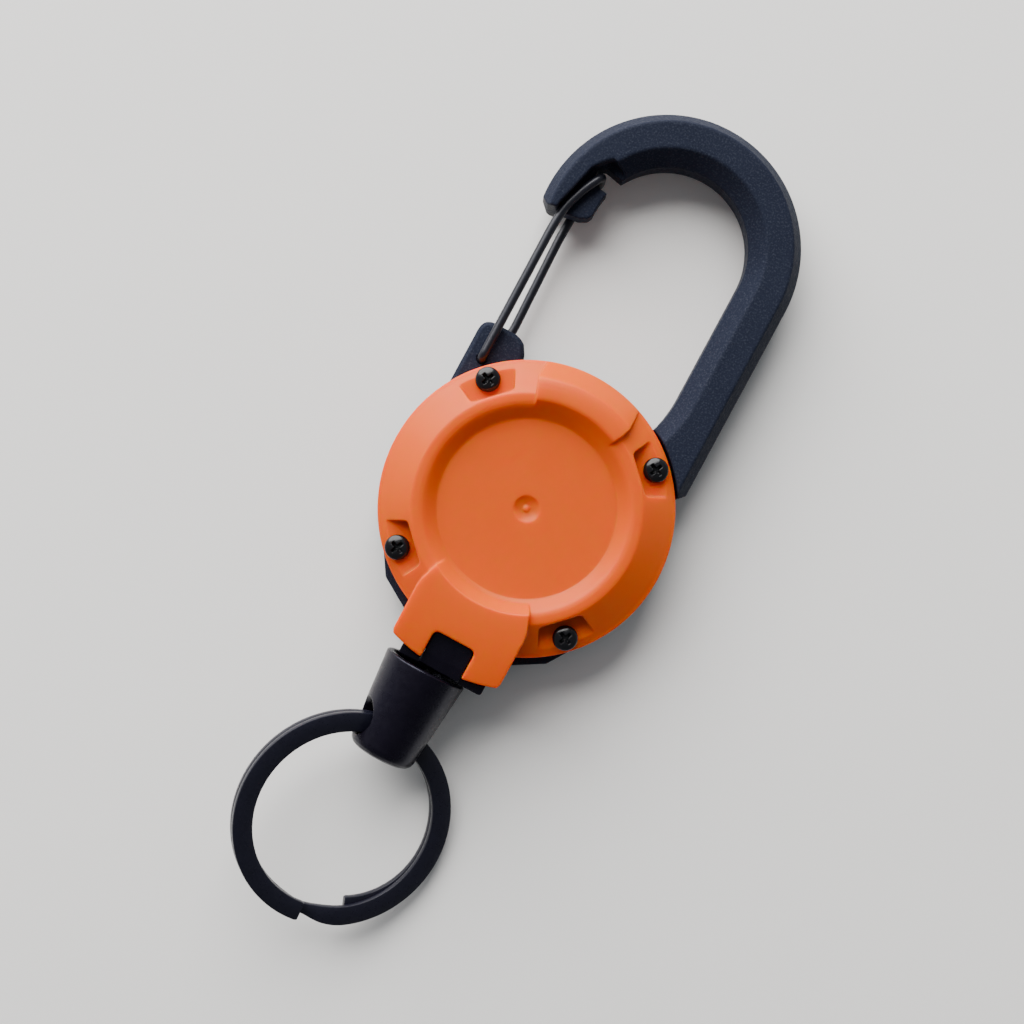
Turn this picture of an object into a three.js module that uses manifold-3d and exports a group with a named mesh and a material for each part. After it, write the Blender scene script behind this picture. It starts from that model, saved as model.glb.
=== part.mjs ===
// Retractable badge reel: a round cord reel whose rear shell carries a carabiner hook with a
// wire gate, and whose cord ends in a tapered barrel that holds a split key ring.
//
// Millimetres, +Z up. The reel lies on its back: z = 0 is the rear face, the origin is the
// centre of the round case, +Y points to the top of the hook and the cord leaves along -Y.
import * as THREE from 'three';
import { mergeVertices } from 'three/addons/utils/BufferGeometryUtils.js';
import Module from 'manifold-3d';

const wasm = await Module();
wasm.setup();

// ---- driving dimensions ----------------------------------------------------------------
const COVER_R = 20.0; // outer radius of the front cover
const REAR_R = 20.15; // outer radius of the rear shell
const SPLIT_Z = 6.5; // parting plane between the two shells
const FLOOR_T = 1.6; // thickness of the rear shell's floor
const CEILING_Z = 9.1; // underside of the front cover's recessed disc
const DISC_Z = 10.6; // outer face of the recessed disc
const CREST_Z = 12.2; // top of the cover's round crest
const RIM_Z = 8.75; // height of the cover's outer edge
const SEGMENT_Z = 12.85; // top of the raised segment below the hook
const RAISED_Z = 13.2; // top of the raised nose
const DISC_R = 12.0; // radius of the recessed disc
const NOSE_R = 24.05; // radius of the nose's end, about the case centre
const NOSE_X = 8.0; // half width of the nose
const NOSE_FALL = 0.9; // how far the nose's top falls towards its end
const NOTCH_X = 3.05; // half width of the notch for the cord nozzle
const NOTCH_Y = -19.75; // inner end of the notch

const SCREW_R = 18.0; // distance of the four screws from the case centre
const SCREW_HEAD_R = 1.7;
const SCREW_HEAD_H = 1.1;
const SCREW_SHANK_R = 0.8;
const POCKET_Z = 9.5; // floor of each screw pocket
const POCKET_IN = 15.55; // distance of a pocket's inner wall from the case centre
const POCKET_HALF = 3.0; // half width of a pocket at its inner wall
const POCKET_SPREAD = 18; // degrees that each side wall of a pocket opens outwards

const HOOK_Z0 = 0.5; // underside of the hook
const HOOK_T = 8.6; // thickness of the hook
const HOOK_W = 7.2; // width of the hook's section
const HOOK_LEG_X = 14.6; // middle of the hook's straight leg
const HOOK_FOOT_Y = 10.3; // lower end of the leg
const HOOK_FLARE = 1.9; // how far the leg's root widens inwards
const HOOK_FLARE_TOP = 23.0; // height where that widening starts
const HOOK_TOP_Y = 40.0; // centre height of the hook's round top
const CHAMFER_OUT = 1.4; // width of the chamfer along the hook's outer edge
const CHAMFER_IN = 2.2; // width of the chamfer along the hook's inner edge
const CHAMFER_H = 2.4; // height of both chamfers
const KEEPER_Z0 = 2.9; // the keeper and the gate lug are both this slab
const KEEPER_Z1 = 6.5;

const GATE_X = -15.0; // pivot of the wire gate
const GATE_Y = 15.0;
const WIRE_R = 0.65;
const WIRE_TOP_Z = 7.4; // height of the gate's upper leg
const WIRE_LOW_Z = 2.0; // height of the gate's lower leg

const CORD_Z = 6.6; // height of the cord, the nozzle's bore and the barrel
const CORD_R = 0.5;
const FLANGE_Y = -24.9; // outer face of the nozzle's flange
const FLANGE_TOP_Z = 10.4;
const STEM_TOP_Z = 11.8; // top of the nozzle's stem in the notch

const AXLE_R = 2.0;
const SPOOL_Z0 = 2.1;
const SPOOL_Z1 = 8.6;
const SPOOL_FLANGE_R = 14.5;
const SPOOL_FLANGE_T = 0.8;
const HUB_R = 11.5; // the cord is wound on this radius
const HUB_WALL = 1.2;
const WINDING_R = 13.4; // outer radius of the wound cord

const BARREL_X = -1.7; // the barrel hangs a little to one side of the nozzle
const BARREL_TOP_Y = -25.3;
const BARREL_BOTTOM_Y = -38.9;
const BARREL_TOP_R = 5.85;
const BARREL_LOW_R = 4.65;
const BARREL_ROLL = THREE.MathUtils.degToRad(22); // the barrel and the ring lie rolled over

const RING_HOLE_Y = -34.9; // the barrel's cross hole, where the ring passes
const RING_R = 15.1; // outer radius of the split ring
const RING_W = 2.7; // radial width of its flat wire
const RING_T = 1.0; // thickness of the wire
const RING_LAYER = 0.55; // each coil's distance from the ring's middle plane
const RING_ASIDE = -0.3; // the ring hangs a little to one side of the barrel

// ---- helpers ---------------------------------------------------------------------------
// A closed geometry as a solid with its faces pointing out.
function solid(geometry) {
  const bare = geometry.clone();
  bare.deleteAttribute('normal');
  bare.deleteAttribute('uv');
  const merged = mergeVertices(bare, 1e-4);
  const points = merged.attributes.position.array;
  const corner = merged.index.array;
  const faces = [];
  let volume = 0;
  const a = new THREE.Vector3();
  const b = new THREE.Vector3();
  const c = new THREE.Vector3();
  for (let i = 0; i < corner.length; i += 3) {
    const [p, q, r] = [corner[i], corner[i + 1], corner[i + 2]];
    if (p === q || q === r || r === p) continue;
    faces.push([p, q, r]);
    a.fromArray(points, 3 * p);
    b.fromArray(points, 3 * q);
    c.fromArray(points, 3 * r);
    volume += a.dot(b.cross(c));
  }
  const triVerts = new Uint32Array(faces.map((f) => (volume < 0 ? [f[0], f[2], f[1]] : f)).flat());
  const mesh = new wasm.Mesh({ numProp: 3, vertProperties: new Float32Array(points), triVerts });
  return new wasm.Manifold(mesh);
}

function geometryOf(body) {
  const mesh = body.getMesh();
  const geometry = new THREE.BufferGeometry();
  geometry.setAttribute('position', new THREE.BufferAttribute(mesh.vertProperties, 3));
  geometry.setIndex(new THREE.BufferAttribute(mesh.triVerts, 1));
  geometry.computeVertexNormals();
  return geometry;
}

function outline(points) {
  return new THREE.Shape(points.map(([x, y]) => new THREE.Vector2(x, y)));
}

// A solid of revolution about Z (axis 'z'), Y or X, from [radius, distance along the axis].
function turned(profile, segments, axis = 'z') {
  const closed = [...profile, profile[0]].map(([r, h]) => new THREE.Vector2(r, h));
  const geometry = new THREE.LatheGeometry(closed, segments);
  if (axis === 'z') geometry.rotateX(Math.PI / 2);
  if (axis === 'x') geometry.rotateZ(-Math.PI / 2);
  return solid(geometry);
}

function rod(radius, low, high, segments) {
  return turned([[0, low], [radius, low], [radius, high], [0, high]], segments);
}

function prism(shape, low, high, curveSegments = 8) {
  const options = { depth: high - low, bevelEnabled: false, curveSegments };
  return solid(new THREE.ExtrudeGeometry(shape, options).translate(0, 0, low));
}

function box(x0, x1, y0, y1, z0, z1) {
  return prism(outline([[x0, y0], [x1, y0], [x1, y1], [x0, y1]]), z0, z1);
}

function swept(curve, section, steps) {
  const options = { steps, extrudePath: curve, bevelEnabled: false, curveSegments: 3 };
  return solid(new THREE.ExtrudeGeometry(section, options));
}

function regular(radius, sides) {
  const corners = [];
  for (let i = 0; i < sides; i += 1) {
    const angle = (2 * Math.PI * i) / sides;
    corners.push([radius * Math.cos(angle), radius * Math.sin(angle)]);
  }
  return outline(corners);
}

// A line through the points with each corner rounded off.
function bentLine(points, bend) {
  const path = new THREE.CurvePath();
  const corners = points.map((p) => new THREE.Vector3(...p));
  let from = corners[0];
  for (let i = 1; i < corners.length - 1; i += 1) {
    const back = corners[i - 1].clone().sub(corners[i]);
    const ahead = corners[i + 1].clone().sub(corners[i]);
    const cut = Math.min(bend, back.length() / 2.1, ahead.length() / 2.1);
    const start = corners[i].clone().addScaledVector(back.normalize(), cut);
    const end = corners[i].clone().addScaledVector(ahead.normalize(), cut);
    path.add(new THREE.LineCurve3(from, start));
    path.add(new THREE.QuadraticBezierCurve3(start, corners[i], end));
    from = end;
  }
  path.add(new THREE.LineCurve3(from, corners[corners.length - 1]));
  return path;
}

function onDiagonals(make) {
  return [45, 135, 225, 315].map((degrees) => make().rotate([0, 0, degrees]));
}

function join(first, ...rest) {
  return rest.reduce((whole, piece) => whole.add(piece), first);
}

function material(color, roughness, metalness) {
  return new THREE.MeshStandardMaterial({ color, roughness, metalness });
}

const ORANGE_PLASTIC = [0xe1692b, 0.42, 0.0];
const BLACK_PLASTIC = [0x14151a, 0.6, 0.0];
const GLOSS_BLACK = [0x0b0b0e, 0.3, 0.0];
const BLACK_STEEL = [0x101116, 0.35, 0.8];
const BRIGHT_STEEL = [0xb9bcc0, 0.3, 1.0];
const SPRING_STEEL = [0x5b6068, 0.3, 1.0];
const WHITE_NYLON = [0xe6e4da, 0.5, 0.0];
const BLACK_CORD = [0x17171b, 0.85, 0.0];

const group = new THREE.Group();

function add(name, body, look, parent = group) {
  const mesh = new THREE.Mesh(geometryOf(body), material(...look));
  mesh.name = name;
  parent.add(mesh);
}

// ---- nose outline, shared by the two shells ---------------------------------------------
// From the round case the sides run down to an end that is an arc about the case centre.
function noseShape(halfWidth, endRadius, round) {
  const shape = new THREE.Shape();
  const endY = -Math.sqrt(endRadius ** 2 - (halfWidth - round) ** 2);
  const sideY = endY + round * 0.9;
  const endAngle = Math.asin((halfWidth - round) / endRadius);
  shape.moveTo(-5.9, -10.5);
  shape.quadraticCurveTo(-halfWidth + 0.1, -12.6, -halfWidth, -15.6);
  shape.lineTo(-halfWidth, sideY);
  shape.quadraticCurveTo(-halfWidth, endY, -halfWidth + round, endY);
  shape.absarc(0, 0, endRadius, -Math.PI / 2 - endAngle, -Math.PI / 2 + endAngle, false);
  shape.quadraticCurveTo(halfWidth, endY, halfWidth, sideY);
  shape.lineTo(halfWidth, -15.6);
  shape.quadraticCurveTo(halfWidth - 0.1, -12.6, 5.9, -10.5);
  return shape;
}

// ---- front cover -----------------------------------------------------------------------
const RING_SEGMENTS = 60;
const BOSS_CHORD = 14.8; // inner face of the cover's solid corners over the bosses
const COVER_CAVITY_R = 16.9;
const CHANNEL_X = 4.9; // half width of the channel for the nozzle's inner flange
const CHANNEL_END_Y = -19.65;
const CHANNEL_TOP_Z = 11.0;

function pocketShape(inner, halfWidth) {
  const outer = 23;
  const spread = halfWidth + (outer - inner) * Math.tan(THREE.MathUtils.degToRad(POCKET_SPREAD));
  return outline([[inner, -halfWidth], [outer, -spread], [outer, spread], [inner, halfWidth]]);
}

function frontCover() {
  const dish = turned([
    [0, SPLIT_Z], [COVER_R, SPLIT_Z], [COVER_R, RIM_Z], [19.6, RIM_Z + 0.2],
    [15.4, CREST_Z], [13.7, CREST_Z], [DISC_R, DISC_Z],
    [1.75, DISC_Z], [0.9, DISC_Z - 0.45], [0, DISC_Z - 0.45],
  ], RING_SEGMENTS);
  const raisedRing = turned([
    [11.9, SPLIT_Z + 0.1], [COVER_R, SPLIT_Z + 0.1], [COVER_R, RIM_Z + 0.1],
    [17.5, SEGMENT_Z - 0.45], [16.3, SEGMENT_Z - 0.1], [15.2, SEGMENT_Z], [14.6, SEGMENT_Z],
    [11.9, DISC_Z - 0.05],
  ], RING_SEGMENTS);
  const segmentSides = prism(outline([
    [5.6, 10.9], [7.0, 13.5], [8.0, 16.5], [8.1, 20.5],
    [-7.8, 20.5], [-7.7, 16.5], [-6.1, 12.0], [-5.8, 10.9],
  ]), SPLIT_Z, SEGMENT_Z + 1);
  const noseHeight = turned([
    [0, SPLIT_Z - 0.1], [NOSE_R, SPLIT_Z - 0.1], [NOSE_R, RAISED_Z - NOSE_FALL],
    [20, RAISED_Z - 0.25 * NOSE_FALL], [16, RAISED_Z],
    [13.9, RAISED_Z], [11.9, DISC_Z - 0.05], [0, DISC_Z - 0.05],
  ], RING_SEGMENTS);
  const nose = prism(noseShape(NOSE_X, NOSE_R, 0.8), SPLIT_Z, RAISED_Z).intersect(noseHeight);
  const outside = join(dish, raisedRing.intersect(segmentSides), nose);

  const pockets = onDiagonals(() => prism(pocketShape(POCKET_IN, POCKET_HALF), POCKET_Z, 14));
  const shankHoles = onDiagonals(() => rod(1.15, SPLIT_Z - 1, POCKET_Z + 1, 12)
    .translate([SCREW_R, 0, 0]));
  const corners = onDiagonals(() => prism(pocketShape(BOSS_CHORD, 3.6), SPLIT_Z - 1, 14));
  const cavity = rod(COVER_CAVITY_R, SPLIT_Z - 1, CEILING_Z, RING_SEGMENTS)
    .subtract(join(...corners));
  const channel = box(-CHANNEL_X, CHANNEL_X, CHANNEL_END_Y, -14, SPLIT_Z - 1, CHANNEL_TOP_Z);
  const notch = join(
    box(-NOTCH_X, NOTCH_X, -26, NOTCH_Y, SPLIT_Z - 1, 14),
    box(-NOTCH_X, NOTCH_X, -26, NOTCH_Y + 0.4, SPLIT_Z - 1, CHANNEL_TOP_Z),
  );
  const axleSocket = rod(2.2, CEILING_Z - 1, CEILING_Z + 0.55, 24);
  return outside.subtract(join(cavity, channel, notch, axleSocket, ...shankHoles, ...pockets));
}

// ---- rear shell with the carabiner hook and the gate lug --------------------------------
const REAR_CAVITY_R = 17.8;
const BOSS_R = 2.65;

function rearShell() {
  const rim = new THREE.Shape();
  const rimAngle = Math.atan2(-14.0, 14.3);
  rim.absarc(0, 0, REAR_R, rimAngle, Math.PI - rimAngle, false);
  [[-12.4, -17.2], [-7.9, -19.9], [-7.9, -22.5], [7.9, -22.5], [7.9, -19.9], [12.4, -17.2]]
    .forEach(([x, y]) => rim.lineTo(x, y));
  const shell = prism(rim, 0, SPLIT_Z - 0.1, RING_SEGMENTS * 0.7)
    .add(prism(noseShape(NOSE_X - 0.3, NOSE_R - 0.25, 0.8), 0, SPLIT_Z - 0.1));
  const bosses = onDiagonals(() => rod(BOSS_R, 0, 8, 16).translate([SCREW_R, 0, 0]));
  const cavity = rod(REAR_CAVITY_R, FLOOR_T, SPLIT_Z + 1, RING_SEGMENTS)
    .subtract(join(...bosses));
  const channel = box(-CHANNEL_X, CHANNEL_X, CHANNEL_END_Y, -14, FLOOR_T, SPLIT_Z + 1);
  const notch = box(-NOTCH_X, NOTCH_X, -26, NOTCH_Y + 0.2, FLOOR_T, SPLIT_Z + 1);
  return shell.subtract(join(cavity, channel, notch));
}

// The hook: a bar of eight-sided section that rises as a straight leg, turns over a round
// top and comes down to the nose. The nose keeps its outer half at full thickness, and its
// inner half is a thinner keeper between the two legs of the wire gate.
function hookSection() {
  const half = HOOK_W / 2;
  const high = HOOK_T / 2;
  const side = high - CHAMFER_H;
  return outline([
    [-high, half - CHAMFER_OUT], [-side, half], [side, half], [high, half - CHAMFER_OUT],
    [high, -half + CHAMFER_IN], [side, -half], [-side, -half], [-high, -half + CHAMFER_IN],
  ]);
}

function hookBar() {
  const noseAngle = THREE.MathUtils.degToRad(189);
  const legLength = HOOK_TOP_Y - HOOK_FOOT_Y;
  const arcLength = HOOK_LEG_X * noseAngle;
  const middle = new THREE.Curve();
  middle.getPoint = (t, target = new THREE.Vector3()) => {
    const along = t * (legLength + arcLength);
    const turn = Math.max(0, along - legLength) / HOOK_LEG_X;
    const y = Math.min(HOOK_FOOT_Y + along, HOOK_TOP_Y) + HOOK_LEG_X * Math.sin(turn);
    return target.set(HOOK_LEG_X * Math.cos(turn), y, HOOK_Z0 + HOOK_T / 2);
  };
  return swept(middle, hookSection(), 46);
}

// The leg's root widens towards the inside of the hook: the same bar again, bent inwards.
function hookRoot() {
  const middle = new THREE.Curve();
  middle.getPoint = (t, target = new THREE.Vector3()) => {
    const y = HOOK_FOOT_Y + t * (HOOK_FLARE_TOP - HOOK_FOOT_Y);
    const flare = Math.min(1, (HOOK_FLARE_TOP - y) / 8) ** 2;
    return target.set(HOOK_LEG_X - HOOK_FLARE * flare - 0.01, y, HOOK_Z0 + HOOK_T / 2);
  };
  return swept(middle, hookSection(), 12);
}

function wireSlots() {
  const slot = outline([
    [-15.9, 36.0], [-15.6, 38.5], [-14.9, 41.0], [-14.0, 44.5], [-13.0, 45.8],
    [-12.0, 46.8], [-10.0, 46.3], [-8.0, 44.0], [-8.0, 34.0], [-16.0, 34.0],
  ]);
  const above = prism(slot, KEEPER_Z1, 12);
  const below = prism(slot, -2, KEEPER_Z0);
  const crossing = prism(outline([
    [-13.0, 43.4], [-13.0, 45.2], [-12.2, 45.8], [-8.0, 44.9], [-8.0, 42.4], [-11.6, 42.9],
  ]), -2, 12);
  return join(above, below, crossing);
}

function gateLug() {
  const shape = new THREE.Shape();
  shape.moveTo(-17.4, 8.0);
  shape.lineTo(-17.4, 18.3);
  shape.quadraticCurveTo(-17.4, 20.2, -15.6, 20.2);
  shape.lineTo(-12.3, 20.2);
  shape.quadraticCurveTo(-10.4, 20.0, -9.9, 15.5);
  return prism(shape, KEEPER_Z0, KEEPER_Z1 - 0.1, 5);
}

// What lies beyond the nose's end: the outline of the keeper, and a slope at each face
// that runs from the end of the flat down to that outline.
function beyondNose() {
  const keeperEnd = prism(outline([
    [-19, 38.9], [-16.3, 36.8], [-12.9, 37.2], [-12.6, 37.9], [-11.3, 38.6],
    [-10.9, 39.5], [-10.9, 41.6], [-8.0, 44.0], [-8.0, 30.0], [-20, 30.0],
  ]), -2, 12);
  const slope = box(-4, 4, -8, 0, 0, 8)
    .rotate([-55, 0, 0])
    .rotate([0, 0, -33])
    .translate([-16.8, 39.4, HOOK_Z0 + HOOK_T]);
  const middleZ = HOOK_Z0 + HOOK_T / 2;
  return join(keeperEnd, slope, slope.mirror([0, 0, 1]).translate([0, 0, 2 * middleZ]));
}

function rearCase() {
  const hook = hookBar().add(hookRoot()).subtract(join(wireSlots(), beyondNose()));
  const footCorner = box(-0.6, 3, -4, 4, -1, 12).rotate([0, 0, -45])
    .translate([18.0, 10.7, 0]);
  const outside = join(rearShell(), hook.subtract(footCorner), gateLug());
  // what sits above the parting plane stands clear of the front cover, and the inside of
  // the shell stays open
  const coverRoom = rod(REAR_R + 0.2, SPLIT_Z - 0.1, 14, RING_SEGMENTS);
  const inside = rod(REAR_CAVITY_R, FLOOR_T, SPLIT_Z, RING_SEGMENTS).subtract(
    join(...onDiagonals(() => rod(BOSS_R, 0, 8, 16).translate([SCREW_R, 0, 0]))),
  );
  const pilotHoles = onDiagonals(() => rod(1.0, 2.0, SPLIT_Z + 1, 12)
    .translate([SCREW_R, 0, 0]));
  const pivotHole = rod(WIRE_R + 0.15, KEEPER_Z0 - 1, KEEPER_Z1 + 1, 16)
    .translate([GATE_X, GATE_Y, 0]);
  return outside.subtract(join(coverRoom, inside, pivotHole, ...pilotHoles));
}

// ---- wire gate --------------------------------------------------------------------------
// One bent wire: both ends turn into the lug's hole, one from above and one from below, and
// the loop turns down through the gap behind the keeper.
function gateWire() {
  const path = bentLine([
    [GATE_X, GATE_Y, 5.3], [GATE_X, GATE_Y, WIRE_TOP_Z],
    [-14.95, 37.3, WIRE_TOP_Z], [-13.7, 41.6, WIRE_TOP_Z], [-12.3, 44.3, WIRE_TOP_Z],
    [-12.3, 44.3, WIRE_LOW_Z], [-13.5, 41.0, WIRE_LOW_Z], [-13.7, 35.0, WIRE_LOW_Z],
    [-13.25, 20.3, WIRE_LOW_Z], [GATE_X, GATE_Y, WIRE_LOW_Z], [GATE_X, GATE_Y, 4.3],
  ], 1.1);
  return swept(path, regular(WIRE_R, 8), 96);
}

// ---- cover screw ------------------------------------------------------------------------
function coverScrew() {
  const top = POCKET_Z + 0.1 + SCREW_HEAD_H;
  const body = turned([
    [0, 2.2], [SCREW_SHANK_R * 0.6, 2.2], [SCREW_SHANK_R, 3.0],
    [SCREW_SHANK_R, POCKET_Z + 0.1], [SCREW_HEAD_R, POCKET_Z + 0.1],
    [SCREW_HEAD_R, top - 0.5], [SCREW_HEAD_R * 0.7, top - 0.08], [0, top],
  ], 16);
  const slot = box(-1.0, 1.0, -0.24, 0.24, top - 0.6, top + 1);
  return body.subtract(slot.add(slot.rotate([0, 0, 90]))).translate([SCREW_R, 0, 0]);
}

// ---- cord nozzle ------------------------------------------------------------------------
function cordNozzle() {
  const flange = new THREE.Shape();
  const [flangeLeft, flangeRight] = [-5.95, 6.45];
  const wallR = NOSE_R + 0.2;
  flange.moveTo(flangeLeft + 0.4, FLANGE_Y);
  flange.lineTo(flangeRight - 0.5, FLANGE_Y);
  flange.lineTo(flangeRight, FLANGE_Y + 0.5);
  const rightAngle = Math.asin(flangeRight / wallR) - Math.PI / 2;
  const leftAngle = Math.asin(flangeLeft / wallR) - Math.PI / 2;
  flange.absarc(0, 0, wallR, rightAngle, leftAngle, true);
  flange.lineTo(flangeLeft, FLANGE_Y + 0.4);
  const stem = NOTCH_X - 0.15;
  const body = join(
    prism(flange, 1.9, FLANGE_TOP_Z),
    box(-stem, stem, FLANGE_Y + 0.3, NOTCH_Y - 0.15, FLOOR_T + 0.2, STEM_TOP_Z),
    box(-stem, stem, -21.0, -19.0, FLOOR_T + 0.2, CHANNEL_TOP_Z - 0.2),
    box(-4.5, 4.5, CHANNEL_END_Y + 0.15, -18.7, FLOOR_T + 0.4, CHANNEL_TOP_Z - 0.4),
  );
  const bore = turned([
    [0, -27], [3.4, -27], [2.6, FLANGE_Y], [1.5, -23.6], [1.1, -22.4],
    [1.1, -20.2], [2.0, -18.8], [2.4, -18.0], [0, -18.0],
  ], 20, 'y').translate([0, 0, CORD_Z]);
  return body.subtract(bore);
}

// ---- spool, its cover, its axle and the mainspring ---------------------------------------
const HUB_IN = HUB_R - HUB_WALL;

function spool() {
  const web = SPOOL_Z1 - SPOOL_FLANGE_T;
  return turned([
    [AXLE_R + 0.1, SPOOL_Z1], [AXLE_R + 0.1, web - 0.4], [3.3, web - 0.4], [3.3, web],
    [HUB_IN, web], [HUB_IN, SPOOL_Z0], [SPOOL_FLANGE_R, SPOOL_Z0],
    [SPOOL_FLANGE_R, SPOOL_Z0 + SPOOL_FLANGE_T], [HUB_R, SPOOL_Z0 + SPOOL_FLANGE_T],
    [HUB_R, web], [SPOOL_FLANGE_R, web], [SPOOL_FLANGE_R, SPOOL_Z1],
  ], 48);
}

function washer(inner, outer, low, high) {
  return turned([[inner, low], [outer, low], [outer, high], [inner, high]], 32);
}

function springCover() {
  return washer(AXLE_R + 0.9, HUB_IN - 0.15, SPOOL_Z0, SPOOL_Z0 + 0.6);
}

function spoolAxle() {
  const body = turned([
    [0, FLOOR_T + 0.1], [2.7, FLOOR_T + 0.1], [2.7, FLOOR_T + 0.4],
    [AXLE_R, FLOOR_T + 0.4], [AXLE_R, 9.2], [AXLE_R - 0.3, 9.5], [0, 9.5],
  ], 24);
  return body.subtract(box(-3, 3, -0.3, 0.3, 3.4, 12));
}

// The flat spiral runs from its hook in the axle's slot out to the wall of the spool's hub.
function mainspring() {
  const spiral = new THREE.Curve();
  const turns = 7;
  const innerR = AXLE_R + 0.5;
  const outerR = HUB_IN - 0.4;
  spiral.getPoint = (t, target = new THREE.Vector3()) => {
    const angle = 2 * Math.PI * turns * t;
    const radius = innerR + (outerR - innerR) * t;
    return target.set(radius * Math.cos(angle), radius * Math.sin(angle), 5.25);
  };
  const ribbon = outline([[-2.0, -0.12], [2.0, -0.12], [2.0, 0.12], [-2.0, 0.12]]);
  return swept(spiral, ribbon, turns * 18);
}

// ---- cord ---------------------------------------------------------------------------------
function cordWinding() {
  const low = SPOOL_Z0 + SPOOL_FLANGE_T + 0.15;
  const high = SPOOL_Z1 - SPOOL_FLANGE_T - 0.15;
  return washer(HUB_R + 0.15, WINDING_R, low, high);
}

// The stretch from the spool to the nozzle leaves the winding along a tangent.
function cordFeed() {
  const mouthY = -18.6;
  const tangentR = WINDING_R + CORD_R + 0.15;
  const angle = -Math.PI / 2 - Math.acos(tangentR / -mouthY);
  const start = new THREE.Vector3(tangentR * Math.cos(angle), tangentR * Math.sin(angle), CORD_Z);
  const path = bentLine([start.toArray(), [0, mouthY, CORD_Z], [0, -20.2, CORD_Z]], 1.2);
  return swept(path, regular(CORD_R, 8), 12);
}

// The stretch that is pulled out first runs through the nozzle into the barrel.
function cordLead() {
  const run = new THREE.Curve();
  run.getPoint = (t, target = new THREE.Vector3()) => {
    const y = -20.5 - 11.2 * t;
    const aside = THREE.MathUtils.smoothstep(-y, 21.5, 28.5);
    return target.set(BARREL_X * aside, y, CORD_Z);
  };
  return swept(run, regular(CORD_R, 8), 12);
}

function cordStop() {
  return turned([
    [0, -32.0], [0.9, -32.0], [1.3, -32.3], [1.3, -32.7], [1.0, -33.0], [0, -33.0],
  ], 16, 'y').translate([BARREL_X, 0, CORD_Z]);
}

// ---- barrel and split ring -----------------------------------------------------------------
function endBarrel() {
  const body = turned([
    [4.5, BARREL_TOP_Y - 4.0], [4.7, BARREL_TOP_Y - 0.2], [4.9, BARREL_TOP_Y],
    [BARREL_TOP_R - 0.2, BARREL_TOP_Y], [BARREL_TOP_R, BARREL_TOP_Y - 0.25],
    [BARREL_LOW_R + 0.08, BARREL_BOTTOM_Y + 1.3], [BARREL_LOW_R - 0.4, BARREL_BOTTOM_Y + 0.4],
    [BARREL_LOW_R - 1.3, BARREL_BOTTOM_Y], [0, BARREL_BOTTOM_Y], [0, -33.5], [1.6, -33.5],
    [1.6, -31.8], [0.8, -31.8], [0.8, BARREL_TOP_Y - 4.3],
  ], 40, 'y');
  const crossHole = turned([
    [0, -7], [3.3, -7], [2.75, -5], [2.3, -3.6], [2.3, 3.6], [2.75, 5], [3.3, 7], [0, 7],
  ], 24, 'x').translate([0, RING_HOLE_Y, 0]);
  return body.subtract(crossHole);
}

// Two coils of flat wire: the lower one starts just after the crossing, goes once round and
// climbs over to the upper one, which ends just before the crossing.
function splitRing() {
  const middleR = RING_R - RING_W / 2;
  const crossing = THREE.MathUtils.degToRad(27);
  const startAngle = THREE.MathUtils.degToRad(-60);
  const total = 4 * Math.PI - crossing;
  const coil = new THREE.Curve();
  coil.getPoint = (t, target = new THREE.Vector3()) => {
    const swung = t * total;
    const climb = THREE.MathUtils.smoothstep(swung, 2 * Math.PI - crossing, 2 * Math.PI);
    const height = RING_LAYER * (2 * climb - 1);
    const angle = startAngle + swung;
    return target.set(middleR * Math.cos(angle), middleR * Math.sin(angle), height);
  };
  const [thick, wide] = [RING_T / 2, RING_W / 2];
  const section = outline([[-thick, -wide], [thick, -wide], [thick, wide], [-thick, wide]]);
  return swept(coil, section, 110).translate([RING_ASIDE, RING_HOLE_Y - middleR, 0]);
}

// ---- assembly ---------------------------------------------------------------------------
add('rear_case', rearCase(), BLACK_PLASTIC);
add('front_cover', frontCover(), ORANGE_PLASTIC);
[45, 135, 225, 315].forEach((degrees, i) => {
  add(`cover_screw_${i + 1}`, coverScrew().rotate([0, 0, degrees]), BLACK_STEEL);
});
add('gate_wire', gateWire(), BLACK_STEEL);
add('cord_nozzle', cordNozzle(), GLOSS_BLACK);
add('spool', spool(), WHITE_NYLON);
add('spring_cover', springCover(), WHITE_NYLON);
add('mainspring', mainspring(), SPRING_STEEL);
add('spool_axle', spoolAxle(), BRIGHT_STEEL);
add('rear_washer', washer(3.0, 6.0, FLOOR_T + 0.05, SPOOL_Z0 - 0.1), WHITE_NYLON);
add('front_washer', washer(AXLE_R + 0.2, 5.0, SPOOL_Z1 + 0.08, CEILING_Z - 0.07), WHITE_NYLON);
add('cord_winding', cordWinding(), BLACK_CORD);
add('cord_feed', cordFeed(), BLACK_CORD);
add('cord_lead', cordLead(), BLACK_CORD);
add('cord_stop', cordStop(), BRIGHT_STEEL);

const barrelGroup = new THREE.Group();
barrelGroup.position.set(BARREL_X, 0, CORD_Z);
barrelGroup.rotation.y = BARREL_ROLL;
group.add(barrelGroup);
add('end_barrel', endBarrel(), GLOSS_BLACK, barrelGroup);
add('split_ring', splitRing(), BLACK_STEEL, barrelGroup);

export default group;
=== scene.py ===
"""The looks of a retractable badge reel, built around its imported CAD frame.

Every shape is made in millimetres and scaled to metres when it is finished. The moulded pieces
are joined and cut as solids, remeshed finely and smoothed, so that each edge has the small
radius of a real moulding.
"""
import math

import bmesh
import bpy
import numpy as np
from mathutils import Matrix, Vector


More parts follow.
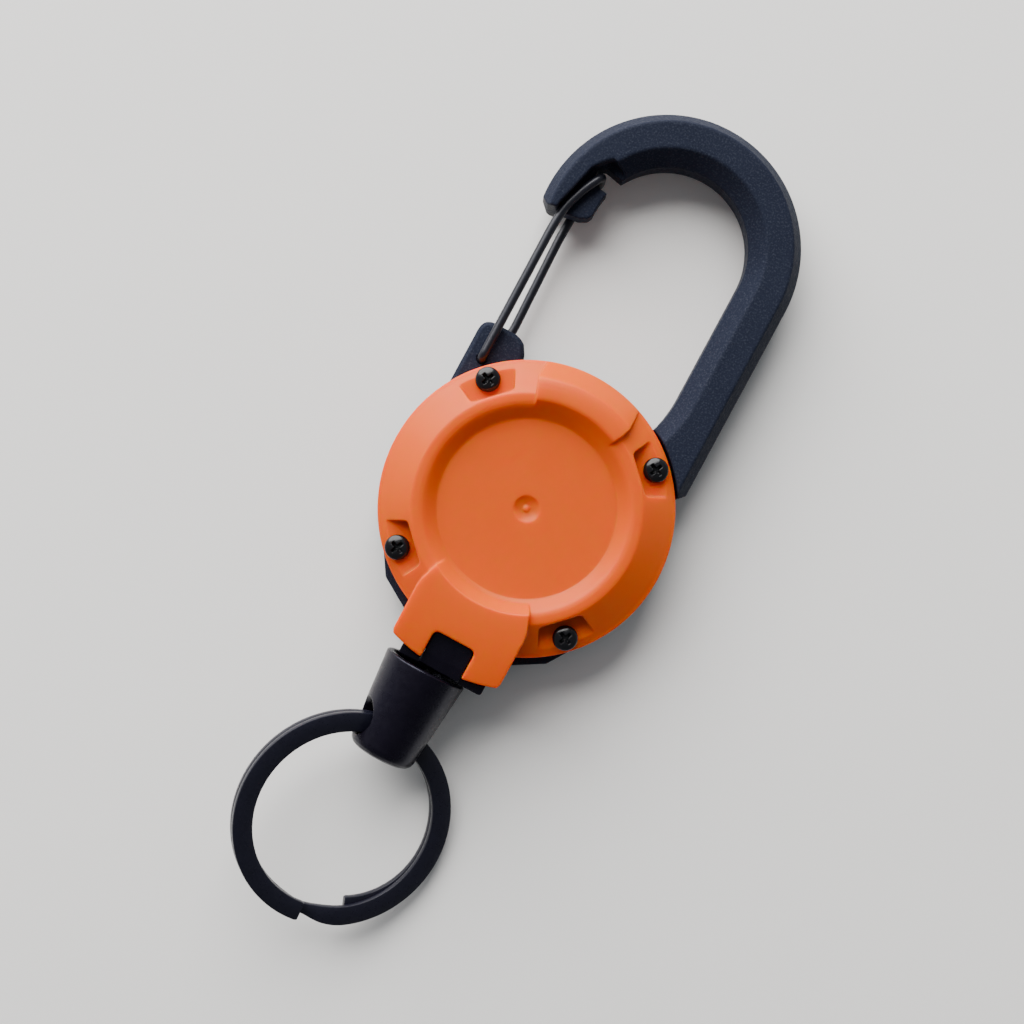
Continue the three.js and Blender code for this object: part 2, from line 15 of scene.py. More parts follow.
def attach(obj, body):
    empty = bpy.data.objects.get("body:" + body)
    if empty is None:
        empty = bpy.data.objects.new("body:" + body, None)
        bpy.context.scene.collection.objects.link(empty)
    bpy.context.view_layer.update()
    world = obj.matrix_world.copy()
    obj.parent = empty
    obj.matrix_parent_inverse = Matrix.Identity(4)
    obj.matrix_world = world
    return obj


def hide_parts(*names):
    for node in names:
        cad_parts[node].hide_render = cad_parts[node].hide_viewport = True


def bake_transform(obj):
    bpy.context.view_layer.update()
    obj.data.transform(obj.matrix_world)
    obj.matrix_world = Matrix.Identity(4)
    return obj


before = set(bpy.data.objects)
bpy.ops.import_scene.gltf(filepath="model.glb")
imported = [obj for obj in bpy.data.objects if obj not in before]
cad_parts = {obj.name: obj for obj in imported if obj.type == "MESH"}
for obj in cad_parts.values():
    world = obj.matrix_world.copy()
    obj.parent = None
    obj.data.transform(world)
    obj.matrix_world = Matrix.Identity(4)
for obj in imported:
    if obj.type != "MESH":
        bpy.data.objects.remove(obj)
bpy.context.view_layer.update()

MM = 0.001
MM_PER_METRE = 1000

# ---- sizes in millimetres, as in the CAD part ------------------------------------------------
COVER_R, REAR_R = 20.0, 20.15
SPLIT_Z, FLOOR_T, CEILING_Z = 6.5, 1.6, 9.1
DISC_Z, CREST_Z, SEGMENT_Z, RAISED_Z = 10.6, 12.2, 12.85, 13.2
RIM_Z, SEGMENT_LEAN = 8.75, 0.2
BELOW_ALL, BELOW_SPLIT, ABOVE_HOOK, ABOVE_ALL = -2, 5, 12, 15  # ends of the cutting solids
DISC_R = 12.0
NOSE_R, NOSE_X, NOSE_FALL = 24.05, 8.0, 0.9
NOTCH_X, NOTCH_Y = 3.05, -19.75
CHANNEL_X, CHANNEL_START_Y, CHANNEL_END_Y, CHANNEL_TOP_Z = 4.9, -14, -19.65, 11.0
COVER_CAVITY_R, REAR_CAVITY_R, BOSS_R, BOSS_CHORD = 16.9, 17.8, 2.65, 14.8

SCREW_R, SCREW_HEAD_R, SCREW_HEAD_H, SCREW_SHANK_R, SCREW_HOLE_R = 18.0, 1.7, 1.1, 0.8, 1.15
POCKET_Z, POCKET_IN, POCKET_HALF, POCKET_SPREAD = 9.5, 15.55, 3.0, 18

HOOK_Z0, HOOK_T, HOOK_W = 0.5, 8.6, 7.2
HOOK_LEG_X, HOOK_FOOT_Y, HOOK_TOP_Y = 14.6, 10.3, 40.0
HOOK_MIDDLE_Z, HOOK_ARC = HOOK_Z0 + HOOK_T / 2, math.radians(189)
HOOK_FLARE, HOOK_FLARE_TOP, HOOK_FLARE_LENGTH = 1.9, 23.0, 8
CHAMFER_OUT, CHAMFER_IN, CHAMFER_H = 1.4, 2.2, 2.4
KEEPER_Z0, KEEPER_Z1 = 2.9, 6.5

GATE_X, GATE_Y = -15.0, 15.0
WIRE_R, WIRE_TOP_Z, WIRE_LOW_Z = 0.65, 7.4, 2.0

CORD_Z, CORD_R, CORD_LAYER = 6.6, 0.5, 0.9
FLANGE_Y, FLANGE_TOP_Z, STEM_TOP_Z = -24.9, 10.4, 11.8
HUB_R, WINDING_R = 11.5, 13.4

BARREL_X, BARREL_ROLL = -1.7, math.radians(22)
BARREL_TOP_Y, BARREL_BOTTOM_Y = -25.3, -38.9
BARREL_TOP_R, BARREL_LOW_R = 5.85, 4.65
RING_HOLE_Y, RING_ASIDE = -34.9, -0.3
RING_R, RING_W, RING_T, RING_LAYER = 15.1, 2.7, 1.0, 0.52

DIAGONALS = [math.radians(45 + 90 * i) for i in range(4)]


# ---- mesh helpers ------------------------------------------------------------------------------
def new_solid(verts, faces):
    mesh = bpy.data.meshes.new("solid")
    mesh.from_pydata([tuple(map(float, v)) for v in verts], [], faces)
    obj = bpy.data.objects.new("solid", mesh)
    bpy.context.scene.collection.objects.link(obj)
    build = bmesh.new()
    build.from_mesh(mesh)
    bmesh.ops.recalc_face_normals(build, faces=build.faces)
    build.to_mesh(mesh)
    build.free()
    return obj


def turned(profile, segments, axis="z"):
    """A solid of revolution from a closed outline of (radius, distance along the axis)."""
    verts, rings = [], []
    for radius, along in profile:
        count = 1 if radius < 1e-6 else segments
        start = len(verts)
        for i in range(count):
            angle = 2 * math.pi * i / segments
            across, up = radius * math.cos(angle), radius * math.sin(angle)
            point = {"z": (across, up, along), "y": (up, along, across), "x": (along, across, up)}
            verts.append(point[axis])
        rings.append([start + i % count for i in range(segments + 1)])
    faces = []
    for here, ahead in zip(rings, rings[1:] + rings[:1]):
        for i in range(segments):
            corners = [here[i], here[i + 1], ahead[i + 1], ahead[i]]
            kept = list(dict.fromkeys(corners))
            if len(kept) > 2:
                faces.append(kept)
    return new_solid(verts, faces)


def rod(radius, low, high, segments):
    return turned([(0, low), (radius, low), (radius, high), (0, high)], segments)


def prism(outline, low, high):
    count = len(outline)
    verts = [(x, y, z) for z in (low, high) for x, y in outline]
    faces = [list(range(count)), list(range(count, 2 * count))]
    faces += [[i, (i + 1) % count, count + (i + 1) % count, count + i] for i in range(count)]
    return new_solid(verts, faces)


def block(x0, x1, y0, y1, z0, z1):
    return prism([(x0, y0), (x1, y0), (x1, y1), (x0, y1)], z0, z1)


def arc(radius, start, end, count):
    return [(radius * math.cos(a), radius * math.sin(a)) for a in np.linspace(start, end, count)]


def rounding(start, corner, end, steps):
    """Points along a curve from start to end that rounds off the corner."""
    shares = [k / steps for k in range(steps + 1)]
    return [start * (1 - t) ** 2 + corner * 2 * t * (1 - t) + end * t * t for t in shares]


def filleted(points):
    """An outline from (x, y) or (x, y, r) corners, each corner with an r rounded to it."""
    outline = []
    for i, point in enumerate(points):
        here = Vector(point[:2])
        if len(point) == 2:
            outline.append(tuple(here))
            continue
        before = (Vector(points[i - 1][:2]) - here).normalized()
        after = (Vector(points[(i + 1) % len(points)][:2]) - here).normalized()
        half = before.angle(after) / 2
        reach = point[2] / math.tan(half)
        curve = rounding(here + before * reach, here, here + after * reach, 5)
        outline += [tuple(spot) for spot in curve]
    return outline


def swept(points, sections, fixed_up=None):
    """A solid along the points. sections is one section, or one for each point, of
    (side, up) offsets; up is fixed_up, or it is carried along the path."""
    points = np.asarray(points, float)
    tangents = np.gradient(points, axis=0)
    tangents /= np.linalg.norm(tangents, axis=1)[:, None]
    sections = np.asarray(sections, float)
    if sections.ndim == 2:
        sections = np.repeat(sections[None], len(points), axis=0)
    count = sections.shape[1]
    verts, up = [], None
    for i, (point, along) in enumerate(zip(points, tangents)):
        if fixed_up is not None:
            up = np.asarray(fixed_up, float)
        elif up is None:
            up = np.eye(3)[np.abs(along).argmin()]
        up = up - along * up.dot(along)
        up /= np.linalg.norm(up)
        side = np.cross(along, up)
        verts += [point + side * s + up * u for s, u in sections[i]]
    faces = []
    for i in range(len(points) - 1):
        a = i * count
        for k in range(count):
            n = (k + 1) % count
            faces.append([a + k, a + n, a + count + n, a + count + k])
    faces += [list(range(count)), list(range(len(verts) - count, len(verts)))]
    return new_solid(verts, faces)


def eased(share):
    """A share from 0 to 1 that starts and ends smoothly."""
    share = np.clip(share, 0, 1)
    return share * share * (3 - 2 * share)


def circle(radius, sides):
    angles = [2 * math.pi * i / sides for i in range(sides)]
    return [(radius * math.cos(angle), radius * math.sin(angle)) for angle in angles]


def rectangle(half_x, half_y):
    return [(-half_x, -half_y), (half_x, -half_y), (half_x, half_y), (-half_x, half_y)]


def bent_line(points, bend, step=0.25):
    """Points along a line whose corners are rounded off."""
    corners = [Vector(p) for p in points]
    line = [corners[0]]
    for before, here, after in zip(corners, corners[1:], corners[2:]):
        back, ahead = before - here, after - here
        reach = min(bend, back.length / 2.1, ahead.length / 2.1)
        start, end = here + back.normalized() * reach, here + ahead.normalized() * reach
        line += rounding(start, here, end, 8)
    line.append(corners[-1])
    path = [np.array(line[0])]
    for a, b in zip(line, line[1:]):
        pieces = max(1, int((b - a).length / step))
        path += [np.array(a.lerp(b, (k + 1) / pieces)) for k in range(pieces)]
    return path


def turn(obj, matrix):
    obj.data.transform(matrix)
    return obj


def moved(obj, x=0.0, y=0.0, z=0.0):
    return turn(obj, Matrix.Translation((x, y, z)))


def on_diagonals(make):
    return [turn(make(), Matrix.Rotation(angle, 4, "Z")) for angle in DIAGONALS]


def screw_rods(radius, low, high, segments):
    """An upright rod at the place of each of the four screws."""
    return on_diagonals(lambda: moved(rod(radius, low, high, segments), SCREW_R))


def baked(obj):
    """Applies obj's modifiers to its mesh."""
    view = bpy.context.evaluated_depsgraph_get()
    mesh = bpy.data.meshes.new_from_object(obj.evaluated_get(view))
    obj.modifiers.clear()
    old, obj.data = obj.data, mesh
    bpy.data.meshes.remove(old)
    return obj


def boolean(base, others, operation):
    for other in others:
        modifier = base.modifiers.new("solid", "BOOLEAN")
        modifier.operation = operation
        modifier.solver = "MANIFOLD"
        modifier.object = other
    baked(base)
    for other in others:
        bpy.data.objects.remove(other)
    return base


def joined(base, *others):
    return boolean(base, others, "UNION")


def cut(base, *others):
    return boolean(base, others, "DIFFERENCE")


def common(base, other):
    return boolean(base, [other], "INTERSECT")


def moulded(obj, voxel, smoothing, ratio=1.0):
    """Rounds every edge of a solid a little, as a mould does."""
    remesh = obj.modifiers.new("remesh", "REMESH")
    remesh.mode = "VOXEL"
    remesh.voxel_size = voxel * 1
    smooth = obj.modifiers.new("smooth", "SMOOTH")
    smooth.factor = 0.5
    smooth.iterations = smoothing
    if ratio < 1:
        decimate = obj.modifiers.new("thin", "DECIMATE")
        decimate.ratio = ratio
    return baked(obj)


def finished(obj, name, body, material, replaces=(), angle=None):
    """Names a piece, scales it to metres, gives it its body and material, and hides the CAD
    parts it replaces. Edges sharper than angle, in degrees, stay sharp, and the others are shaded
    smooth."""
    obj.name = obj.data.name = name
    obj.data.transform(Matrix.Scale(MM, 4))
    obj.data.materials.clear()
    obj.data.materials.append(material)
    for face in obj.data.polygons:
        face.use_smooth = True
    if angle is not None:
        obj.data.set_sharp_from_angle(angle=math.radians(angle))
    if body is not None:
        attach(obj, body)
    if replaces:
        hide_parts(*replaces)
    return obj


# ---- materials ---------------------------------------------------------------------------------
def shaded(tint, share):
    """A darker version of a colour."""
    return tuple(c * share for c in tint[:3]) + (1,)


class Look:
    """A material whose patterns are measured in millimetres."""

    def __init__(self, name, **sockets):
        self.material = bpy.data.materials.new(name)
        self.material.use_nodes = True
        self.nodes = self.material.node_tree.nodes
        self.links = self.material.node_tree.links
        self.shader = self.nodes["Principled BSDF"]
        for socket, value in sockets.items():
            self.shader.inputs[socket.replace("_", " ")].default_value = value
        self.place = self.nodes.new("ShaderNodeTexCoord").outputs["Object"]
        self.normal = None

    def node(self, kind, inputs=(), **settings):
        node = self.nodes.new(kind)
        for key, value in settings.items():
            setattr(node, key, value)
        for key, value in dict(inputs).items():
            if isinstance(value, bpy.types.NodeSocket):
                self.links.new(value, node.inputs[key])
            else:
                node.inputs[key].default_value = value
        return node

    def noise(self, size, detail=3.0, stretch=(1, 1, 1), rotation=(0, 0, 0), contrast=None):
        """Noise with features about size mm across, from 0 to 1."""
        scale = [MM_PER_METRE / size / s for s in stretch]
        turned_place = self.node("ShaderNodeMapping", {0: self.place, "Rotation": rotation})
        place = self.node("ShaderNodeMapping", {0: turned_place.outputs[0], "Scale": scale})
        noise = self.node("ShaderNodeTexNoise", {"Vector": place.outputs[0], "Scale": 1.0,
                                                 "Detail": detail})
        if contrast is None:
            return noise.outputs["Fac"]
        return self.ranged(noise.outputs["Fac"], contrast, (0, 1))

    def grains(self, size):
        """Separate round grains about size mm apart."""
        scale = [MM_PER_METRE / size] * 3
        place = self.node("ShaderNodeMapping", {0: self.place, "Scale": scale})
        cells = self.node("ShaderNodeTexVoronoi", {"Vector": place.outputs[0], "Scale": 1.0})
        return cells.outputs["Distance"]

    def ranged(self, value, source, target):
        node = self.node("ShaderNodeMapRange", {
            "Value": value, "From Min": source[0], "From Max": source[1],
            "To Min": target[0], "To Max": target[1]})
        return node.outputs[0]

    def mixed(self, factor, first, second):
        """A mix of two colours; 6, 7 and output 2 are the Mix node's colour sockets."""
        node = self.node("ShaderNodeMix", {0: factor, 6: first, 7: second}, data_type="RGBA")
        return node.outputs[2]

    def colour(self, value):
        self.links.new(value, self.shader.inputs["Base Color"])

    def roughness(self, value, low, high):
        """Roughness from low to high, as value goes over the middle of a noise's range."""
        self.links.new(self.ranged(value, (0.3, 0.7), (low, high)),
                       self.shader.inputs["Roughness"])

    def bump(self, height, distance):
        """distance is the bump's height in mm."""
        inputs = {"Height": height, "Distance": distance * MM, "Strength": 1.0}
        if self.normal is not None:
            inputs["Normal"] = self.normal
        self.normal = self.node("ShaderNodeBump", inputs).outputs[0]
        self.links.new(self.normal, self.shader.inputs["Normal"])


def orange_plastic():
    look = Look("orange_plastic", IOR=1.49, Specular_IOR_Level=0.2, Subsurface_Weight=1.0,
                Subsurface_Scale=1.9 * MM, Subsurface_Radius=(1.0, 0.11, 0.03))
    patches = look.noise(9.0, 2.0)
    look.colour(look.mixed(patches, (0.67, 0.088, 0.0002, 1), (0.65, 0.096, 0.0003, 1)))
    look.roughness(look.noise(2.2, 4.0), 0.36, 0.48)
    look.bump(look.noise(0.16, 2.0), 0.004)
    look.bump(look.noise(3.0, 1.0), 0.006)
    return look.material


def grained_black():
    look = Look("grained_black_plastic", IOR=1.5, Specular_IOR_Level=0.03)
    patches = look.noise(4.0, 3.0)
    base = look.mixed(patches, (0.011, 0.0135, 0.025, 1), (0.015, 0.018, 0.032, 1))
    specks = look.noise(0.24, 2.0, contrast=(0.50, 0.78))
    look.colour(look.mixed(specks, base, (0.032, 0.037, 0.053, 1)))
    look.roughness(look.noise(0.5, 3.0), 0.40, 0.55)
    look.bump(look.grains(0.34), 0.030)
    look.bump(look.noise(0.16, 2.0), 0.012)
    return look.material


def gloss_black(name, rough, scratch_turn):
    look = Look(name, IOR=1.5, Specular_IOR_Level=0.28, Specular_Tint=(0.75, 0.76, 1.0, 1))
    patches = look.noise(3.0, 3.0)
    look.colour(look.mixed(patches, (0.002, 0.0012, 0.003, 1), (0.004, 0.003, 0.007, 1)))
    look.roughness(look.noise(0.8, 4.0), rough, rough + 0.12)
    scratches = look.noise(0.12, 2.0, (1, 1, 30), scratch_turn, (0.56, 0.72))
    look.bump(scratches, 0.003)
    look.bump(look.noise(0.9, 2.0), 0.003)
    return look.material


def black_metal(name, tint, rough):
    look = Look(name, Metallic=0.3)
    patches = look.noise(1.6, 3.0)
    look.colour(look.mixed(patches, shaded(tint, 0.6), tint))
    look.roughness(look.noise(0.4, 4.0), rough, rough + 0.14)
    look.bump(look.noise(0.10, 3.0), 0.003)
    return look.material


def bare_metal(name, tint, rough, stretch):
    look = Look(name, Metallic=1.0)
    lines = look.noise(0.15, 2.0, stretch)
    look.colour(look.mixed(lines, shaded(tint, 0.75), tint))
    look.roughness(lines, rough, rough + 0.15)
    look.bump(lines, 0.004)
    return look.material


def natural_plastic(name, tint):
    look = Look(name, Subsurface_Weight=0.1, Subsurface_Scale=1.0 * MM)
    look.colour(look.mixed(look.noise(5.0), shaded(tint, 0.85), tint))
    look.roughness(look.noise(0.7, 4.0), 0.42, 0.58)
    look.bump(look.noise(0.2, 2.0), 0.005)
    return look.material


def braided_cord():
    """Two families of slanting strands over a soft black cord."""
    look = Look("braided_cord", Sheen_Weight=0.3, Sheen_Roughness=0.5)
    weaves = []
    for slant in (0.7, -0.7):
        place = look.node("ShaderNodeMapping", {0: look.place, "Rotation": (0, 0, slant),
                                                "Scale": [MM_PER_METRE] * 3})
        wave = look.node("ShaderNodeTexWave", {"Vector": place.outputs[0], "Scale": 0.55,
                                               "Distortion": 0.6, "Detail": 2.0})
        weaves.append(wave.outputs["Fac"])
    both = look.node("ShaderNodeMath", {0: weaves[0], 1: weaves[1]}, operation="MAXIMUM")
    look.colour(look.mixed(both.outputs[0], (0.008, 0.008, 0.010, 1), (0.035, 0.035, 0.042, 1)))
    look.roughness(look.noise(0.1, 2.0), 0.75, 0.95)
    look.bump(both.outputs[0], 0.08)
    return look.material


# ---- front cover -------------------------------------------------------------------------------
def nose_outline(half_width, end_radius, corner):
    end_y = -math.sqrt(end_radius**2 - (half_width - corner) ** 2)
    end_angle = math.asin((half_width - corner) / end_radius)
    side = [(5.9, -10.5), (6.9, -11.9), (half_width - 0.55, -13.4), (half_width - 0.12, -14.6),
            (half_width, -15.8), (half_width, end_y + corner * 0.9),
            (half_width - corner * 0.28, end_y + corner * 0.25)]
    end = arc(end_radius, -math.pi / 2 + end_angle, -math.pi / 2 - end_angle, 24)
    return side + end + [(-x, y) for x, y in reversed(side)]


def pocket_outline(inner, half_width, corner):
    outer = 24
    wide = half_width + (outer - inner) * math.tan(math.radians(POCKET_SPREAD))
    return filleted([(inner, -half_width, corner), (outer, -wide), (outer, wide),
                     (inner, half_width, corner)])


def lean_sides(obj, lean, level):
    """Leans the left and right walls inwards by lean for each mm above level, and outwards
    below it."""
    for vertex in obj.data.vertices:
        vertex.co.x -= math.copysign(lean * (vertex.co.z - level), vertex.co.x)


def cover_solid():
    dish = turned([
        (0, SPLIT_Z), (COVER_R, SPLIT_Z), (COVER_R, RIM_Z), (19.93, RIM_Z + 0.12),
        (19.6, RIM_Z + 0.2), (15.4, CREST_Z - 0.05), (15.1, CREST_Z), (14.3, CREST_Z),
        (13.8, CREST_Z - 0.12), (13.4, CREST_Z - 0.4), (DISC_R + 0.05, DISC_Z),
        (1.78, DISC_Z), (1.5, DISC_Z - 0.26), (1.1, DISC_Z - 0.42), (0.45, DISC_Z - 0.55),
        (0.35, DISC_Z - 0.3), (0, DISC_Z - 0.22),
    ], 240)
    raised = turned([
        (DISC_R, SPLIT_Z + 0.1), (COVER_R, SPLIT_Z + 0.1), (COVER_R, RIM_Z + 0.1),
        (19.8, RIM_Z + 0.4), (17.55, SEGMENT_Z - 0.6), (17.3, SEGMENT_Z - 0.38),
        (16.7, SEGMENT_Z - 0.2), (16, SEGMENT_Z - 0.07), (15.2, SEGMENT_Z), (14.7, SEGMENT_Z),
        (14.4, SEGMENT_Z - 0.1), (DISC_R + 0.05, DISC_Z - 0.1),
    ], 240)
    sides = prism([(5.6, 10.9), (6.45, 12.8), (7.2, 14.1), (7.75, 15.6), (7.95, 17.5),
                   (8.0, 20.5), (-7.85, 20.5), (-7.75, 16.3), (-6.8, 13.9), (-5.7, 10.9)],
                  SPLIT_Z, ABOVE_ALL)
    lean_sides(sides, SEGMENT_LEAN, CREST_Z)
    height = turned([
        (0, SPLIT_Z - 0.1), (26, SPLIT_Z - 0.1), (26, RAISED_Z - 1.4 * NOSE_FALL),
        (NOSE_R, RAISED_Z - NOSE_FALL), (22, RAISED_Z - 0.57 * NOSE_FALL),
        (20, RAISED_Z - 0.27 * NOSE_FALL), (18, RAISED_Z - 0.08 * NOSE_FALL), (16, RAISED_Z),
        (14.0, RAISED_Z), (DISC_R + 0.2, DISC_Z - 0.1), (DISC_R, DISC_Z - 0.3),
        (0, DISC_Z - 0.3),
    ], 240)
    nose = common(prism(nose_outline(NOSE_X, NOSE_R, 0.9), SPLIT_Z, ABOVE_ALL), height)
    outside = joined(dish, common(raised, sides), nose)

    pockets = on_diagonals(
        lambda: prism(pocket_outline(POCKET_IN, POCKET_HALF, 0.7), POCKET_Z, ABOVE_ALL))
    holes = screw_rods(SCREW_HOLE_R, BELOW_SPLIT, POCKET_Z + 1, 24)
    corners = on_diagonals(
        lambda: prism(pocket_outline(BOSS_CHORD, 3.6, 0.5), BELOW_SPLIT, ABOVE_ALL))
    cavity = cut(rod(COVER_CAVITY_R, BELOW_SPLIT, CEILING_Z, 160), *corners)
    channel = block(-CHANNEL_X, CHANNEL_X, CHANNEL_END_Y, CHANNEL_START_Y, BELOW_SPLIT,
                    CHANNEL_TOP_Z)
    front_y, notch_corner = -27, 0.9
    notch = prism(filleted([(-NOTCH_X, front_y), (NOTCH_X, front_y),
                            (NOTCH_X, NOTCH_Y, notch_corner),
                            (-NOTCH_X, NOTCH_Y, notch_corner)]), BELOW_SPLIT, ABOVE_ALL)
    low_notch = block(-NOTCH_X, NOTCH_X, front_y, NOTCH_Y + 0.4, BELOW_SPLIT, CHANNEL_TOP_Z)
    axle_socket = rod(2.2, CEILING_Z - 1, CEILING_Z + 0.45, 48)
    return cut(outside, cavity, channel, notch, low_notch, axle_socket, *holes, *pockets)


# ---- rear shell with the hook and the gate lug -------------------------------------------------
def rear_cavity(top):
    """The round space in the rear shell, less the four screw bosses."""
    return cut(rod(REAR_CAVITY_R, FLOOR_T, top, 160), *screw_rods(BOSS_R, 0, 8, 40))


def shell_solid():
    rim_angle = math.atan2(-14.0, 14.3)
    rim = arc(REAR_R, rim_angle, math.pi - rim_angle, 220)
    rim += [(-12.4, -17.2), (-7.9, -19.9), (-7.9, -22.5), (7.9, -22.5), (7.9, -19.9),
            (12.4, -17.2)]
    shell = joined(prism(rim, 0, SPLIT_Z - 0.1),
                   prism(nose_outline(NOSE_X - 0.3, NOSE_R - 0.25, 0.8), 0, SPLIT_Z - 0.1))
    top = SPLIT_Z + 1
    channel = block(-CHANNEL_X, CHANNEL_X, CHANNEL_END_Y, CHANNEL_START_Y, FLOOR_T, top)
    notch = block(-NOTCH_X, NOTCH_X, -26, NOTCH_Y + 0.2, FLOOR_T, top)
    return cut(shell, rear_cavity(top), channel, notch)


def hook_section(flare=0.0):
    """The bar's eight-sided section; flare widens it towards the inside of the hook."""
    half, high = HOOK_W / 2, HOOK_T / 2
    side = high - CHAMFER_H
    inner = half + flare
    return [(half - CHAMFER_OUT, -high), (half, -side), (half, side), (half - CHAMFER_OUT, high),
            (-inner + CHAMFER_IN, high), (-inner, side), (-inner, -side),
            (-inner + CHAMFER_IN, -high)]


def hook_solid():
    leg = np.arange(HOOK_FOOT_Y, HOOK_TOP_Y, 0.5)
    points = [(HOOK_LEG_X, y, HOOK_MIDDLE_Z) for y in leg]
    flares = HOOK_FLARE * np.clip((HOOK_FLARE_TOP - leg) / HOOK_FLARE_LENGTH, 0, 1) ** 2
    sections = [hook_section(flare) for flare in flares]
    for x, y in arc(HOOK_LEG_X, 0, HOOK_ARC, 120):
        points.append((x, HOOK_TOP_Y + y, HOOK_MIDDLE_Z))
        sections.append(hook_section())
    return swept(points, sections, fixed_up=(0, 0, 1))


def wire_slots():
    """The slots for the gate's end: one in each face, and one where the wire crosses over."""
    slot = filleted([(-16.0, 34.0), (-15.9, 36.0), (-15.6, 38.5), (-14.9, 41.0), (-14.0, 44.5),
                     (-13.0, 45.8), (-12.0, 46.8, 0.3), (-10.0, 46.3), (-8.0, 44.0), (-8.0, 34.0)])
    crossing = filleted([(-13.3, 43.4, 0.3), (-13.3, 45.2, 0.5), (-12.2, 45.8, 0.4), (-8.0, 44.9),
                         (-8.0, 42.4), (-11.6, 42.9, 0.3)])
    return [prism(slot, KEEPER_Z1, ABOVE_HOOK), prism(slot, BELOW_ALL, KEEPER_Z0),
            prism(crossing, BELOW_ALL, ABOVE_HOOK)]


def beyond_keeper():
    """What the hook's end is cut away by: the keeper's outline, and a slope at each face."""
    outline = filleted([(-20.0, 39.6), (-18.9, 38.9, 0.8), (-16.3, 36.8), (-12.9, 37.2, 0.5),
                        (-12.6, 37.9), (-11.3, 38.6, 0.4), (-10.9, 39.5), (-10.9, 41.6, 0.4),
                        (-8.0, 44.0), (-8.0, 30.0), (-20.0, 30.0)])
    place = Matrix.Translation((-16.8, 39.4, HOOK_Z0 + HOOK_T))
    place = place @ Matrix.Rotation(math.radians(-33), 4, "Z")
    place = place @ Matrix.Rotation(math.radians(-55), 4, "X")
    upper = turn(block(-6, 4, -8, 0, 0, 8), place)
    mirror = Matrix.Translation((0, 0, 2 * HOOK_MIDDLE_Z)) @ Matrix.Scale(-1, 4, (0, 0, 1))
    lower = turn(block(-6, 4, -8, 0, 0, 8), mirror @ place)
    lower.data.flip_normals()
    return [prism(outline, BELOW_ALL, ABOVE_HOOK), upper, lower]


def lug_solid():
    """The gate lug: a slab with a rounded corner, a slanted inner corner and bevelled rims."""
    outline = filleted([(-17.4, 8.0), (-17.4, 20.2, 1.9), (-12.0, 20.2), (-10.9, 19.5),
                        (-10.1, 18.2), (-9.8, 15.5)])
    lug = prism(outline, KEEPER_Z0, KEEPER_Z1 - 0.1)
    rim = lug.modifiers.new("rim", "BEVEL")
    rim.width = 0.5
    rim.segments = 1
    return baked(lug)


def rear_solid():
    foot_corner = turn(block(-0.6, 3, -4, 4, -1, ABOVE_HOOK),
                       Matrix.Translation((18.0, 10.7, 0)) @ Matrix.Rotation(-math.pi / 4, 4, "Z"))
    hook = cut(hook_solid(), foot_corner, *wire_slots(), *beyond_keeper())
    cover_room = rod(REAR_R + 0.2, SPLIT_Z - 0.1, 14, 240)
    pilots = screw_rods(1.0, 2.0, SPLIT_Z + 1, 24)
    lower_hole, upper_hole = (KEEPER_Z0 - 1, 4.5), (5.1, KEEPER_Z1 + 1)
    pivots = [moved(rod(WIRE_R + 0.05, *span, 32), GATE_X, GATE_Y)
              for span in (lower_hole, upper_hole)]
    body = joined(shell_solid(), hook, lug_solid())
    return cut(body, cover_room, rear_cavity(SPLIT_Z), *pivots, *pilots)


# ---- smaller pieces ----------------------------------------------------------------------------
def gate_solid():
    path = bent_line([
        (GATE_X, GATE_Y, 5.3), (GATE_X, GATE_Y, WIRE_TOP_Z), (-15.05, 35.5, WIRE_TOP_Z),
        (-14.8, 38.4, WIRE_TOP_Z), (-13.7, 41.6, WIRE_TOP_Z), (-12.3, 44.3, WIRE_TOP_Z),
        (-12.3, 44.3, WIRE_LOW_Z), (-13.5, 41.0, WIRE_LOW_Z), (-13.7, 35.0, WIRE_LOW_Z),
        (-13.25, 20.3, WIRE_LOW_Z), (GATE_X, GATE_Y, WIRE_LOW_Z), (GATE_X, GATE_Y, 4.3),
    ], 1.3)
    return swept(path, circle(WIRE_R - 0.03, 20))


def screw_solid():
    seat = POCKET_Z + 0.1
    top = seat + SCREW_HEAD_H
    tip_z, dome_h, cross_turn = 2.2, 0.62, 0.4
    dome = [(SCREW_HEAD_R * math.cos(a), top - dome_h + dome_h * math.sin(a))
            for a in np.linspace(0.15, math.pi / 2, 10)]
    dome[-1] = (0, top)
    body = turned([(0, tip_z), (SCREW_SHANK_R * 0.5, tip_z), (SCREW_SHANK_R, tip_z + 0.8),
                   (SCREW_SHANK_R, seat), (SCREW_HEAD_R - 0.12, seat), (SCREW_HEAD_R, seat + 0.12),
                   (SCREW_HEAD_R, top - 0.6)] + dome, 64)
    arms = []
    for angle in (cross_turn, cross_turn + math.pi / 2):
        arm = swept([(0, 0, top - 0.75), (0, 0, top + 0.2)],
                    [rectangle(0.55, 0.16), rectangle(1.15, 0.27)], fixed_up=(0, 1, 0))
        arms.append(turn(arm, Matrix.Rotation(angle, 4, "Z")))
    return moved(cut(body, *arms), SCREW_R)


